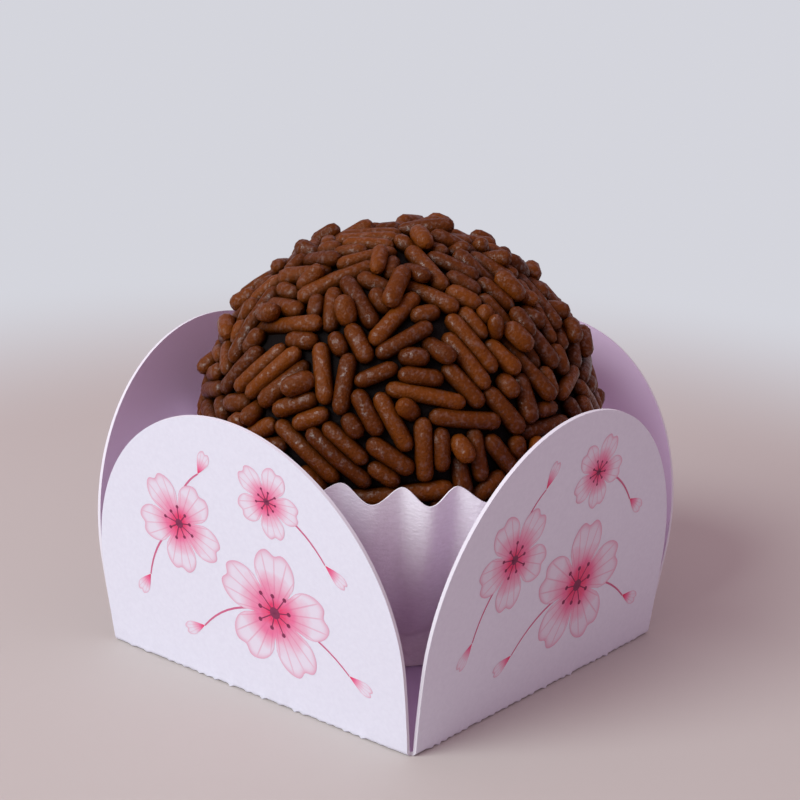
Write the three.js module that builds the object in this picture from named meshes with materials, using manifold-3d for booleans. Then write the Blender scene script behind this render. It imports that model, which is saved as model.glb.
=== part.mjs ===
// Petal candy cup: one die-cut card with a square floor and four round-topped petals folded up
// along perforated lines, a fluted paper liner standing on that floor, and the chocolate sweet,
// coated in sprinkles, that fills the liner.
// Millimetres and degrees, +Z up. The origin is the centre of the card's underside.

import * as THREE from 'three';
import { mergeVertices } from 'three/addons/utils/BufferGeometryUtils.js';
import Module from 'manifold-3d';

const wasm = await Module();
wasm.setup();

// Card
const floorSide = 30;          // the square that the petals fold up from
const cardThickness = 0.35;
const foldInside = 0.05;       // radius of the fold's inside
const foldLap = 1;             // how far in over the floor each petal's strip begins
const petalLength = 22.6;      // from the fold to the tip, along the card
const petalShoulder = 6.5;     // length of the nearly straight sides below the round top
const petalFlare = 0.2;        // how far each side has widened at the shoulder
const perforationPitch = 1.6;
const perforationCut = 0.9;    // length of each dash cut through the fold
const perforationWidth = 0.12;
const petalGap = 0.1;          // between the liner's outer folds and a petal that rests on them

// Each petal: the way it faces, how many degrees it stands off from the liner's rim, and how many
// degrees it bends on outwards between its fold and its tip
const petals = [
  { faces: 180, clear: 7.6, bend: 1.5 },
  { faces: -90, clear: 0.45, bend: 1 },
  { faces: 90, clear: 0.45, bend: 0 },
  { faces: 0, clear: 2.2, bend: 9 },
];

// Sweet
const sweetRadius = 15.9;      // over the sprinkles
const sweetSquash = 1.01;      // its height against its width
const sprinkleRadius = 0.74;
const sprinkleSunk = 0.12;      // how deep the sprinkles are pressed into the fudge
const sprinkleLongest = 9.4;
const sprinkleShortest = 2.4;
const sprinkleGap = 0.12;
const sprinkleTries = 16000;
const sprinkleThinning = 0.15; // power by which the tried lengths fall; smaller leaves fewer long ones
const sprinkleScatter = 0.3;   // share of the tries that don't lie down beside another sprinkle
const sprinkleLooseness = 0.25; // most that two which lie together stand apart, as a share of their width
const sprinkleTurn = 63;       // widest span of angles between two sprinkles that lie together
const sprinkleSeed = 41;
const fudgeDetail = 2;         // how often the ball's faces are split
const sweetShiftX = 2.0;       // the sweet and its liner sit towards the petal that leans most
const sweetShiftY = 0.7;

// Liner
const paper = 0.14;
const linerFloorRadius = 8.6;
const linerFlare = 2.6;        // how much wider the wall would stand at the rim without the sweet
const linerFlutes = 24;
const linerFluteDepth = 0.85;  // from fold to fold at the rim
const linerFootDepth = 0.1;    // the same at the foot, where the flutes have faded out
const linerRimHeight = 16.7;   // above the card's floor, midway between the folds
const linerRimWave = 1.15;     // how much higher the inner folds end than the outer ones
const linerTurn = 2;           // turn of the flutes about the axis
const linerRises = [0, 0.14, 0.28, 0.45, 0.65, 0.85, 1];  // where the wall is shaped, as shares of its height
const fluteFade = 1.3;         // power by which the flutes deepen on their way up
const rimWaveFade = 3;         // power by which the rim's wave comes in
const seatGap = 0.05;          // between things that rest on each other
const sweetGap = 0.15;         // between the sweet and the liner's inner folds

const sweetHeight = 2 * sweetRadius * sweetSquash;
const foldRadius = cardThickness + foldInside;
const petalFoot = floorSide / 2 - foldRadius;
const linerBottom = cardThickness + seatGap;
const sweetBottom = linerBottom + paper + seatGap;
const sweetCentre = new THREE.Vector3(sweetShiftX, sweetShiftY, sweetBottom + sweetHeight / 2);

const radians = THREE.MathUtils.degToRad;

// A closed mesh from a list of corner points and a list of triangles
function solidFrom(points, triangles) {
  const geometry = new THREE.BufferGeometry();
  geometry.setAttribute('position', new THREE.Float32BufferAttribute(points.flat(), 3));
  geometry.setIndex(triangles.flat());
  return geometry;
}

function toManifold(geometry) {
  const bare = new THREE.BufferGeometry();
  bare.setAttribute('position', geometry.getAttribute('position'));
  if (geometry.index) bare.setIndex(geometry.index);
  const merged = mergeVertices(bare, 1e-4);
  return new wasm.Manifold(new wasm.Mesh({
    numProp: 3,
    vertProperties: new Float32Array(merged.getAttribute('position').array),
    triVerts: new Uint32Array(merged.index.array),
  }));
}

function fromManifold(solid) {
  const mesh = solid.getMesh();
  const geometry = new THREE.BufferGeometry();
  geometry.setAttribute('position', new THREE.BufferAttribute(mesh.vertProperties, 3));
  geometry.setIndex(new THREE.BufferAttribute(mesh.triVerts, 1));
  return geometry;
}

// Card cup

// Half the petal's width at a distance along the card from the fold: it widens from a foot that
// leaves the floor's corners open, and ends in half an ellipse
function petalHalfWidth(along) {
  const widest = petalFoot + petalFlare;
  if (along <= petalShoulder) return petalFoot + petalFlare * Math.sin((along / petalShoulder) * Math.PI / 2);
  const rise = (along - petalShoulder) / (petalLength - petalShoulder);
  return widest * Math.sqrt(Math.max(0, 1 - rise * rise));
}

// A petal's lean out from upright at its fold. The petal rests on the liner's outer folds, or
// stands clear of them, so the lean is found from every height of the liner's wall.
function petalLean({ faces, clear, bend }) {
  const facing = radians(faces);
  const shift = sweetShiftX * Math.cos(facing) + sweetShiftY * Math.sin(facing);
  const touching = linerRises.map((rise) => {
    const wall = linerWall(rise);
    const inwards = floorSide / 2 - (wall.radius + fluteReach(rise) + shift);
    const upwards = linerBottom + wall.height;
    const apart = Math.acos((cardThickness + petalGap) / Math.hypot(inwards, upwards));
    return Math.atan2(upwards, inwards) - apart;
  });
  const bentByRim = (radians(bend) * linerRimHeight) / petalLength / 2;
  return Math.max(...touching) + radians(clear) - bentByRim;
}

// How far in from the petal's outer face, along the floor, its fold begins
const foldTangent = (lean) => foldRadius * Math.tan((Math.PI / 2 - lean) / 2);

// The petal's section: points on its outer face with the outward normal, from the floor to the tip.
// 'out' is the distance from the cup's axis, 'up' the height and 'along' the distance along the card.
function petalSection(petal) {
  const lean = petalLean(petal);
  const tangent = foldTangent(lean);
  const foldCentre = floorSide / 2 - tangent;
  const section = [{ out: foldCentre - foldLap, up: 0, normal: -Math.PI / 2, along: 0 }];
  const foldSteps = 3;
  for (let i = 0; i <= foldSteps; i++) {
    const angle = -Math.PI / 2 + (i / foldSteps) * (Math.PI / 2 - lean);
    section.push({
      out: foldCentre + foldRadius * Math.cos(angle),
      up: foldRadius + foldRadius * Math.sin(angle),
      normal: angle,
      along: 0,
    });
  }
  const start = section[section.length - 1];
  const length = petalLength - tangent;
  const stations = [];
  const sideSteps = 4;
  const topSteps = 16;
  for (let i = 1; i <= sideSteps; i++) stations.push(tangent + (petalShoulder - tangent) * (i / sideSteps));
  for (let i = 1; i <= topSteps; i++) {
    stations.push(petalShoulder + (petalLength - petalShoulder) * Math.sin((i / topSteps) * Math.PI / 2));
  }
  const curvature = radians(petal.bend) / length;
  for (const along of stations) {
    const run = along - tangent;
    const chordAngle = lean + (curvature * run) / 2;
    const out = start.out + run * Math.sin(chordAngle);
    const up = start.up + run * Math.cos(chordAngle);
    section.push({ out, up, normal: -(lean + curvature * run), along });
  }
  return section;
}

// One petal facing +X, as a strip of card that runs from inside the floor to the tip
function petalSolid(petal) {
  const section = petalSection(petal);
  const points = [];
  const triangles = [];
  section.forEach((s) => {
    const half = petalHalfWidth(s.along);
    const inOut = s.out - cardThickness * Math.cos(s.normal);
    const inUp = s.up - cardThickness * Math.sin(s.normal);
    if (half < 1e-6) points.push([s.out, 0, s.up], [inOut, 0, inUp]);
    else points.push([s.out, -half, s.up], [s.out, half, s.up], [inOut, half, inUp], [inOut, -half, inUp]);
  });
  const quad = (a, b, c, d) => triangles.push([a, b, c], [a, c, d]);
  quad(0, 3, 2, 1);
  const rows = section.length - 1;
  for (let i = 0; i < rows - 1; i++) {
    const a = 4 * i;
    const b = a + 4;
    quad(a, a + 1, b + 1, b);
    quad(a + 1, a + 2, b + 2, b + 1);
    quad(a + 2, a + 3, b + 3, b + 2);
    quad(a + 3, a, b, b + 3);
  }
  const last = 4 * (rows - 1);
  const outerTip = 4 * rows;
  const innerTip = outerTip + 1;
  triangles.push([last, last + 1, outerTip], [last + 2, last + 3, innerTip]);
  quad(last + 1, last + 2, innerTip, outerTip);
  quad(last + 3, last, outerTip, innerTip);
  return toManifold(solidFrom(points, triangles));
}

// The dashes cut through one fold, so that the card folds cleanly
function perforations(petal) {
  const count = Math.floor((2 * petalFoot - perforationCut) / perforationPitch);
  const lean = petalLean(petal);
  const foldCentre = floorSide / 2 - foldTangent(lean);
  const bladeReach = 3 * foldRadius;
  const dashes = [];
  for (let i = 0; i < count; i++) {
    const blade = new THREE.BoxGeometry(2 * bladeReach, perforationCut, perforationWidth);
    blade.rotateY((Math.PI / 2 + lean) / 2);
    blade.translate(foldCentre, (i - (count - 1) / 2) * perforationPitch, foldRadius);
    dashes.push(toManifold(blade));
  }
  return wasm.Manifold.union(dashes);
}

function cardCup() {
  const plateSide = 2 * petalFoot - foldLap;
  const plate = new THREE.BoxGeometry(plateSide, plateSide, cardThickness);
  plate.translate(0, 0, cardThickness / 2);
  let cup = toManifold(plate);
  for (const petal of petals) cup = cup.add(petalSolid(petal).rotate([0, 0, petal.faces]));
  for (const petal of petals) cup = cup.subtract(perforations(petal).rotate([0, 0, petal.faces]));
  return fromManifold(cup);
}

// Liner

// The wall hugs the lower half of the sweet, with its inner folds next to the sprinkles. This gives
// its outer radius midway between the folds, and its height over the liner's floor, from its foot
// (rise 0) to its rim (rise 1).
function linerWall(rise) {
  const height = rise * linerRimHeight;
  const toCentre = sweetCentre.z - linerBottom - height;
  const hug = sweetRadius * Math.sqrt(Math.max(0, 1 - (toCentre / (sweetHeight / 2)) ** 2));
  const clear = hug + sweetGap + paper + fluteReach(rise);
  return { radius: Math.max(linerFloorRadius + linerFlare * rise, clear), height };
}

// How far the folds stand out or in from the middle of the wall
function fluteReach(rise) {
  return (linerFootDepth + (linerFluteDepth - linerFootDepth) * rise ** fluteFade) / 2;
}

function liner() {
  const pointsAFlute = 4;
  const columns = linerFlutes * pointsAFlute;
  const points = [];
  for (const inner of [false, true]) {
    for (const rise of linerRises) {
      const wall = linerWall(rise);
      const atFoot = rise === 0;
      for (let i = 0; i < columns; i++) {
        const wave = Math.cos((i / pointsAFlute) * 2 * Math.PI);
        const angle = (i / columns) * 2 * Math.PI + radians(linerTurn);
        const fluted = atFoot ? 0 : fluteReach(rise) * wave;
        const radius = wall.radius - (inner ? paper : 0) + fluted;
        const rimWave = (linerRimWave / 2) * wave * rise ** rimWaveFade;
        const up = wall.height + (inner && atFoot ? paper : 0) - rimWave;
        points.push([radius * Math.cos(angle), radius * Math.sin(angle), up]);
      }
    }
  }
  const bottom = points.push([0, 0, 0]) - 1;
  const inside = points.push([0, 0, paper]) - 1;
  const triangles = [];
  const levels = linerRises.length;
  const at = (side, level, column) => (side * levels + level) * columns + (column % columns);
  for (let i = 0; i < columns; i++) {
    triangles.push([bottom, at(0, 0, i + 1), at(0, 0, i)]);
    triangles.push([inside, at(1, 0, i), at(1, 0, i + 1)]);
    for (let level = 0; level < levels - 1; level++) {
      const [a, b, c, d] = [at(0, level, i), at(0, level, i + 1), at(0, level + 1, i + 1), at(0, level + 1, i)];
      triangles.push([a, b, c], [a, c, d]);
      const [e, f, g, h] = [at(1, level, i), at(1, level, i + 1), at(1, level + 1, i + 1), at(1, level + 1, i)];
      triangles.push([e, g, f], [e, h, g]);
    }
    const rim = levels - 1;
    triangles.push([at(0, rim, i), at(0, rim, i + 1), at(1, rim, i + 1)]);
    triangles.push([at(0, rim, i), at(1, rim, i + 1), at(1, rim, i)]);
  }
  return solidFrom(points, triangles);
}

// Sweet

// Repeatable random numbers from 0 to 1
function randomSource(seed) {
  let state = seed >>> 0;
  return () => {
    state = (state + 0x6d2b79f5) >>> 0;
    let t = Math.imul(state ^ (state >>> 15), state | 1);
    t = (t + Math.imul(t ^ (t >>> 7), t | 61)) ^ t;
    return ((t ^ (t >>> 14)) >>> 0) / 4294967296;
  };
}

// Sprinkles on a ball of the given radius, longest first. Most are laid beside one that is there
// already, as they settle when the ball is rolled in them, and each keeps clear of all the others.
function layOutSprinkles(radius) {
  const random = randomSource(sprinkleSeed);
  const laid = [];
  const samples = 7; // points tested along each sprinkle
  const middle = (samples - 1) / 2;
  const apart = 2 * sprinkleRadius + sprinkleGap;
  for (let i = 0; i < sprinkleTries; i++) {
    const shrink = i / sprinkleTries;
    const length = sprinkleLongest - (sprinkleLongest - sprinkleShortest) * shrink ** sprinkleThinning;
    const draws = Array.from({ length: 5 }, random);
    const centre = new THREE.Vector3();
    const direction = new THREE.Vector3();
    if (laid.length === 0 || draws[0] < sprinkleScatter) {
      const height = 2 * draws[1] - 1;
      const around = 2 * Math.PI * draws[2];
      const flat = Math.sqrt(1 - height * height);
      centre.set(flat * Math.cos(around), flat * Math.sin(around), height);
      const east = new THREE.Vector3(-Math.sin(around), Math.cos(around), 0);
      const north = new THREE.Vector3().crossVectors(centre, east);
      const heading = Math.PI * draws[3];
      direction.copy(east).multiplyScalar(Math.cos(heading)).addScaledVector(north, Math.sin(heading));
    } else {
      const beside = laid[Math.floor(draws[1] * laid.length)];
      const across = new THREE.Vector3().crossVectors(beside.centre, beside.direction);
      const side = draws[2] < 0.5 ? -1 : 1;
      const step = (apart * (1 + sprinkleLooseness * ((draws[2] * 2) % 1))) / radius;
      const slide = ((draws[3] - 0.5) * (beside.length + length)) / 2 / radius;
      centre.copy(beside.centre).addScaledVector(across, side * step);
      centre.addScaledVector(beside.direction, slide).normalize();
      const turn = (draws[4] - 0.5) * radians(sprinkleTurn);
      direction.copy(beside.direction).multiplyScalar(Math.cos(turn)).addScaledVector(across, Math.sin(turn));
      direction.addScaledVector(centre, -direction.dot(centre)).normalize();
    }
    const reach = (length / 2 - sprinkleRadius) / radius;
    const line = [];
    for (let k = 0; k < samples; k++) {
      const angle = reach * (-1 + (2 * k) / (samples - 1));
      const point = centre.clone().multiplyScalar(Math.cos(angle)).addScaledVector(direction, Math.sin(angle));
      line.push(point.multiplyScalar(radius));
    }
    const near = (other) => {
      const middles = line[middle].distanceTo(other.line[middle]);
      if (middles > (length + other.length) / 2 + apart) return false;
      return line.some((p) => other.line.some((q) => p.distanceTo(q) < apart));
    };
    if (!laid.some(near)) laid.push({ centre, direction, length, line });
  }
  return laid;
}

// One sprinkle lying on the ball as a bar that narrows to its crown, with its foot in the fudge
function sprinkleBar(sprinkle, radius) {
  const half = sprinkle.length / 2;
  const r = sprinkleRadius;
  const across = new THREE.Vector3().crossVectors(sprinkle.centre, sprinkle.direction);
  const foot = { up: -r * 1.4, wide: r * 0.9, long: half - r * 0.2 };
  const crown = { up: r * 0.93, wide: r * 0.6, long: half - r * 0.5 };
  const points = [];
  for (const { up, wide, long } of [foot, crown]) {
    for (const [along, aside] of [[long, wide], [-long, wide], [-long, -wide], [long, -wide]]) {
      const fall = radius - Math.sqrt(radius * radius - along * along);
      const point = sprinkle.centre.clone().multiplyScalar(radius + up - fall);
      point.addScaledVector(sprinkle.direction, along).addScaledVector(across, aside);
      points.push(point.toArray());
    }
  }
  const triangles = [];
  const sides = 4;
  for (let i = 0; i < sides; i++) {
    const j = (i + 1) % sides;
    triangles.push([i, j, sides + j], [i, sides + j, sides + i]);
  }
  for (let i = 1; i < sides - 1; i++) triangles.push([0, i + 1, i], [sides, sides + i, sides + i + 1]);
  return toManifold(solidFrom(points, triangles));
}

function sweet() {
  const lying = sweetRadius - sprinkleRadius;
  const fudgeRadius = lying - sprinkleRadius + 2 * sprinkleSunk;
  const fudge = toManifold(new THREE.IcosahedronGeometry(fudgeRadius, fudgeDetail));
  const bars = layOutSprinkles(lying).map((sprinkle) => sprinkleBar(sprinkle, lying));
  return fromManifold(wasm.Manifold.union([fudge, ...bars]));
}

// Assembly

const finishes = {
  card: new THREE.MeshStandardMaterial({ color: 0xe9e2f2, roughness: 0.75, metalness: 0 }),
  paper: new THREE.MeshStandardMaterial({ color: 0xd9c9d6, roughness: 0.85, metalness: 0 }),
  chocolate: new THREE.MeshStandardMaterial({ color: 0x5a2a12, roughness: 0.45, metalness: 0 }),
};

const cup = new THREE.Group();

function addPiece(name, geometry, material, position) {
  const mesh = new THREE.Mesh(geometry, material);
  mesh.name = name;
  mesh.position.copy(position);
  cup.add(mesh);
  return mesh;
}

addPiece('card_cup', cardCup(), finishes.card, new THREE.Vector3());
addPiece('fluted_liner', liner(), finishes.paper, new THREE.Vector3(sweetShiftX, sweetShiftY, linerBottom));
addPiece('coated_sweet', sweet(), finishes.chocolate, sweetCentre).scale.set(1, 1, sweetSquash);

export default cup;
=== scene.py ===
# %% [markdown]
# A petal candy cup: one die-cut card with a square floor and four round-topped petals, folded up
# along perforated lines. A fluted paper liner stands in it, and a chocolate sweet, rolled in
# sprinkles, fills the liner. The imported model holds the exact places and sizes, so this lesson loads
# it first and takes its measures from it. Everything here is in metres, with MM for millimetres.

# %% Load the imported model
import math

import bmesh
import bpy
import numpy as np
from mathutils import Matrix, Quaternion, Vector


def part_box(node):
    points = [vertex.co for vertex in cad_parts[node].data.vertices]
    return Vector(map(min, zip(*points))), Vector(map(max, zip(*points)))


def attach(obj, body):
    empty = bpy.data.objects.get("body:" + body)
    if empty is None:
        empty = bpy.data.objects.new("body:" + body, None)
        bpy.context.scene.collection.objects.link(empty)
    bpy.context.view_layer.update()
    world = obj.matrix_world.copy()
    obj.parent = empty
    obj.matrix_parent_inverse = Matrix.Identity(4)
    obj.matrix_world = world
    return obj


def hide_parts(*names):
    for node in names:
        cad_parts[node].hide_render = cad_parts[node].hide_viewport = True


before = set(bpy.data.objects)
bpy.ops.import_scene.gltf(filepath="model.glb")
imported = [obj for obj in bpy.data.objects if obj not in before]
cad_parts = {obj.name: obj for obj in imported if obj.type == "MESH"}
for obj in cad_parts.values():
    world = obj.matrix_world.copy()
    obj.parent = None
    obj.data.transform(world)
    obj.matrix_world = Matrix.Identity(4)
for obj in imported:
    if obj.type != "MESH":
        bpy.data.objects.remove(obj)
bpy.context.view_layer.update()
MM = 0.001

# %% [markdown]
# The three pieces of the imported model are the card, the liner and the sweet. Their boxes give the
# driving sizes: how far each petal's tip reaches out, where the liner stands and how high it is, and
# where the middle of the sweet lies.

# %% Measure the three pieces
card_low, card_high = (np.array(corner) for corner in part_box("card_cup"))
liner_low, liner_high = (np.array(corner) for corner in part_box("fluted_liner"))
sweet_low, sweet_high = (np.array(corner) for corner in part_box("coated_sweet"))

sweet_centre = (sweet_low + sweet_high) / 2
sweet_radius = (sweet_high[0] - sweet_low[0] + sweet_high[1] - sweet_low[1]) / 4
sweet_half_height = (sweet_high[2] - sweet_low[2]) / 2
liner_centre = (liner_low + liner_high) / 2
print("sweet: centre", (sweet_centre / MM).round(2), "radius", round(sweet_radius / MM, 2))
print("liner: centre", (liner_centre / MM).round(2))

# %% [markdown]
# Two helpers keep the later cells short. One turns arrays of points and faces into a mesh object,
# and the other freezes an object's modifiers into a plain mesh.

# %% Helpers for meshes
def mesh_object(name, points, faces, edges=()):
    mesh = bpy.data.meshes.new(name)
    mesh.from_pydata([tuple(map(float, p)) for p in points], list(edges), [tuple(f) for f in faces])
    mesh.update()
    piece = bpy.data.objects.new(name, mesh)
    bpy.context.scene.collection.objects.link(piece)
    return piece


def freeze(piece, sharp_degrees=None):
    """Turns the evaluated object into a plain mesh, with its modifiers taken off."""
    bpy.context.view_layer.update()
    depsgraph = bpy.context.evaluated_depsgraph_get()
    mesh = bpy.data.meshes.new_from_object(piece.evaluated_get(depsgraph))
    piece.modifiers.clear()
    piece.data = mesh
    mesh.shade_smooth()
    if sharp_degrees is not None:
        mesh.set_sharp_from_angle(angle=math.radians(sharp_degrees))
    print(piece.name, "has", sum(len(p.vertices) - 2 for p in mesh.polygons), "triangles")
    return piece


# %% [markdown]
# Materials and Geometry Nodes are both trees of nodes. Such a tree is easier to read as a formula,
# so a Value stands for one output of a node, and each sum on it adds the Math node for that sum. The
# Builder adds any other node.

# %% Formulas made of nodes
class Value:
    """One output of a node, which can be used in sums."""

    def __init__(self, builder, socket):
        self.builder = builder
        self.socket = socket

    def __add__(self, other):
        return self.builder.math("ADD", self, other)

    def __sub__(self, other):
        return self.builder.math("SUBTRACT", self, other)

    def __rsub__(self, other):
        return self.builder.math("SUBTRACT", other, self)

    def __mul__(self, other):
        return self.builder.math("MULTIPLY", self, other)

    def __truediv__(self, other):
        return self.builder.math("DIVIDE", self, other)

    def __pow__(self, other):
        return self.builder.math("POWER", self, other)

    def __abs__(self):
        return self.builder.math("ABSOLUTE", self)


class Builder:
    """Adds nodes to a tree. An input is given as a Value or as a plain number, vector or colour."""

    def __init__(self, tree):
        self.tree = tree

    def put(self, value, socket):
        if isinstance(value, Value):
            self.tree.links.new(value.socket, socket)
        else:
            socket.default_value = value

    def add(self, kind, inputs=None, **settings):
        made = self.tree.nodes.new(kind)
        for key, value in settings.items():
            setattr(made, key, value)
        for key, value in (inputs or {}).items():
            self.put(value, made.inputs[key])
        return made

    def value(self, kind, output, inputs=None, **settings):
        return Value(self, self.add(kind, inputs, **settings).outputs[output])

    def math(self, operation, *values):
        return self.value("ShaderNodeMath", "Value", dict(enumerate(values)), operation=operation)

    def vector_math(self, operation, *values, output="Vector"):
        return self.value("ShaderNodeVectorMath", output, dict(enumerate(values)), operation=operation)

    def split(self, vector):
        made = self.add("ShaderNodeSeparateXYZ", {"Vector": vector})
        return [Value(self, made.outputs[letter]) for letter in "XYZ"]

    def remap(self, value, first, last, new_first=0.0, new_last=1.0, **settings):
        """The value, with first to last stretched to the new pair, and held at its ends."""
        inputs = {"Value": value, "From Min": first, "From Max": last}
        inputs.update({"To Min": new_first, "To Max": new_last})
        return self.value("ShaderNodeMapRange", "Result", inputs, **settings)


# %% [markdown]
# A Finish is a Builder for a material with Blender's Principled BSDF, the shader that fits nearly
# every real surface. Grain, blends of colour and relief are drawn with the place on the object, so
# no picture is needed.

# %% Finishes made of nodes
class Finish(Builder):
    """A material with one Principled BSDF, and short ways to draw on it."""

    def __init__(self, name, colour, roughness, specular=0.5):
        self.material = bpy.data.materials.new(name)
        self.material.use_nodes = True
        super().__init__(self.material.node_tree)
        self.shader = self.tree.nodes["Principled BSDF"]
        self.put((*colour, 1), self.shader.inputs["Base Color"])
        self.put(roughness, self.shader.inputs["Roughness"])
        self.put(specular, self.shader.inputs["Specular IOR Level"])
        self.place = self.value("ShaderNodeTexCoord", "Object")

    def grain(self, size, detail=3.0, stretch=(1, 1, 1)):
        """Noise whose lumps are about that many metres across."""
        spread = self.value("ShaderNodeMapping", "Vector", {"Vector": self.place, "Scale": stretch})
        inputs = {"Vector": spread, "Scale": 1 / size, "Detail": detail}
        return self.value("ShaderNodeTexNoise", "Fac", inputs)

    def between(self, factor, low_colour, high_colour, low=0.0, high=1.0):
        """A colour that goes from one to the other as the factor goes from low to high."""
        ramp = self.add("ShaderNodeValToRGB", {"Fac": factor})
        first, last = ramp.color_ramp.elements
        first.position, last.position = low, high
        first.color, last.color = (*low_colour, 1), (*high_colour, 1)
        return Value(self, ramp.outputs["Color"])

    def mix(self, factor, first, second, way="MIX"):
        inputs = {"Fac": factor, "Color1": first, "Color2": second}
        return self.value("ShaderNodeMixRGB", "Color", inputs, blend_type=way)

    def paint(self, colour):
        self.put(colour, self.shader.inputs["Base Color"])

    def relief(self, height, depth, strength=1.0):
        """Bumps of that depth in metres, stacked on any that are there already."""
        inputs = {"Height": height, "Distance": depth, "Strength": strength}
        before = self.shader.inputs["Normal"].links
        if before:
            inputs["Normal"] = Value(self, before[0].from_socket)
        self.put(self.value("ShaderNodeBump", "Normal", inputs), self.shader.inputs["Normal"])


# %% [markdown]
# The card is one sheet, so it is modelled as one sheet: a grid of faces for the outside of the
# floor, the folds and the petals, which a Solidify modifier then gives its thickness. Each petal's
# side view is a straight floor, a tight round fold, and a nearly straight wall that may bend
# outwards. The lean of each petal isn't typed in: it is the one that brings the petal's tip to
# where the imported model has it.

# %% The card's sizes
FLOOR_SIDE = 30 * MM
CARD_THICKNESS = 0.28 * MM
FOLD_RADIUS = 0.4 * MM
PETAL_LENGTH = 22.6 * MM
PETAL_SHOULDER = 6.5 * MM
PETAL_FLARE = 0.2 * MM
PETAL_FOOT = FLOOR_SIDE / 2 - FOLD_RADIUS
TOP_STEPS = 40
SIDE_STEPS = 6

# Each petal: the way it faces in degrees from +X, how far out its tip reaches, and its bend
petals = {
    "left_front": (180, -card_low[0], 1.5),
    "right_front": (-90, -card_low[1], 1.0),
    "left_back": (90, card_high[1], 0.0),
    "right_back": (0, card_high[0], 9.0),
}


def petal_half_width(along):
    """Half the petal's width at a distance from the fold: nearly straight sides, then a round top."""
    widest = PETAL_FOOT + PETAL_FLARE
    if along <= PETAL_SHOULDER:
        return PETAL_FOOT + PETAL_FLARE * math.sin(max(along, 0) / PETAL_SHOULDER * math.pi / 2)
    rise = (along - PETAL_SHOULDER) / (PETAL_LENGTH - PETAL_SHOULDER)
    return widest * math.sqrt(max(0.0, 1 - rise * rise))


def petal_station(along, lean, bend):
    """(out, up, angle of the wall from upright) of the outer face, that far along from the fold."""
    tangent = FOLD_RADIUS * math.tan((math.pi / 2 - lean) / 2)
    run = along - tangent
    curvature = bend / (PETAL_LENGTH - tangent)
    chord = lean + curvature * run / 2
    out = FLOOR_SIDE / 2 - tangent + FOLD_RADIUS * math.cos(lean) + run * math.sin(chord)
    up = FOLD_RADIUS * (1 - math.sin(lean)) + run * math.cos(chord)
    return out, up, lean + curvature * run


def lean_that_reaches(reach, bend):
    """The lean at the fold that brings the petal's tip that far out, found by halving."""
    low, high = 0.0, math.radians(40)
    for _ in range(40):
        middle = (low + high) / 2
        if petal_station(PETAL_LENGTH, middle, bend)[0] < reach:
            low = middle
        else:
            high = middle
    return low


leans = {}
for name, (faces, reach, bend) in petals.items():
    leans[name] = lean_that_reaches(reach, math.radians(bend))
    print(name, "leans out", round(math.degrees(leans[name]), 2), "degrees at its fold")

# %% [markdown]
# A dashed line is cut through each fold, so that the thick card folds where it should. On the real
# cup the cuts open a little as the card turns, and the uncut bridges between them are squeezed
# into a row of small bumps along the bottom edge. The grid therefore has columns of faces for
# each cut and each bridge. The cut's faces are left out, and the bridges and the middles of the
# cuts' lips are pushed out a little, each by its own amount.

# %% Columns for the cuts and the bridges
PERFORATION_PITCH = 1.6 * MM
PERFORATION_CUT = 0.9 * MM
PERFORATION_WIDTH = 0.12 * MM
BRIDGE_BUMP = 0.12 * MM
TORN_LIP = 0.13 * MM
BRIDGE_START = 0.28     # how far a bridge begins from the middle of a cut, as a share of the pitch
LIP_END = 0.05          # how far the middle of a lip reaches, in the same measure

cut_count = int((2 * PETAL_FOOT - PERFORATION_CUT) / PERFORATION_PITCH)
cut_middles = [i - (cut_count - 1) / 2 for i in range(cut_count)]


def from_cut(across):
    """How far a place on the fold lies from the nearest cut's middle, as a share of the pitch."""
    return min(abs(across / PERFORATION_PITCH - middle) for middle in cut_middles)


columns = [-PETAL_FOOT]
for i, cut_middle in enumerate(cut_middles):
    middle = cut_middle * PERFORATION_PITCH
    columns += [middle - PERFORATION_CUT / 2, middle, middle + PERFORATION_CUT / 2]
    if i < cut_count - 1:
        columns.append(middle + PERFORATION_PITCH / 2)
columns.append(PETAL_FOOT)
columns = np.array(columns)
cut_half = PERFORATION_CUT / PERFORATION_PITCH / 2
is_cut = [from_cut((a + b) / 2) < cut_half for a, b in zip(columns[:-1], columns[1:])]
fold_dice = np.random.default_rng(5)
print(cut_count, "cuts in each fold,", len(columns), "columns of points")

# %% Rows from the floor to the petal's tip
def fold_rows(lean):
    """Angles round the fold, from straight down to the wall, with a narrow row for the cuts."""
    first, last = -math.pi / 2, -lean
    middle, half = (first + last) / 2, PERFORATION_WIDTH / FOLD_RADIUS / 2
    low, high = middle - half, middle + half
    return [first, (first + low) / 2, low, high, (last + high) / 2, last]


def bumps_along_the_fold():
    """How far each column is pushed out: most at the bridges, a little at the middles of the lips."""
    apart = np.array([from_cut(across) for across in columns])
    bridge = np.clip((apart - BRIDGE_START) / (0.5 - BRIDGE_START), 0, 1)
    pushed = bridge * BRIDGE_BUMP * fold_dice.uniform(0.2, 1.8, len(columns))
    pushed += (apart < LIP_END) * TORN_LIP * fold_dice.uniform(0, 1, len(columns))
    pushed[0] = pushed[-1] = 0
    return pushed


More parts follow.
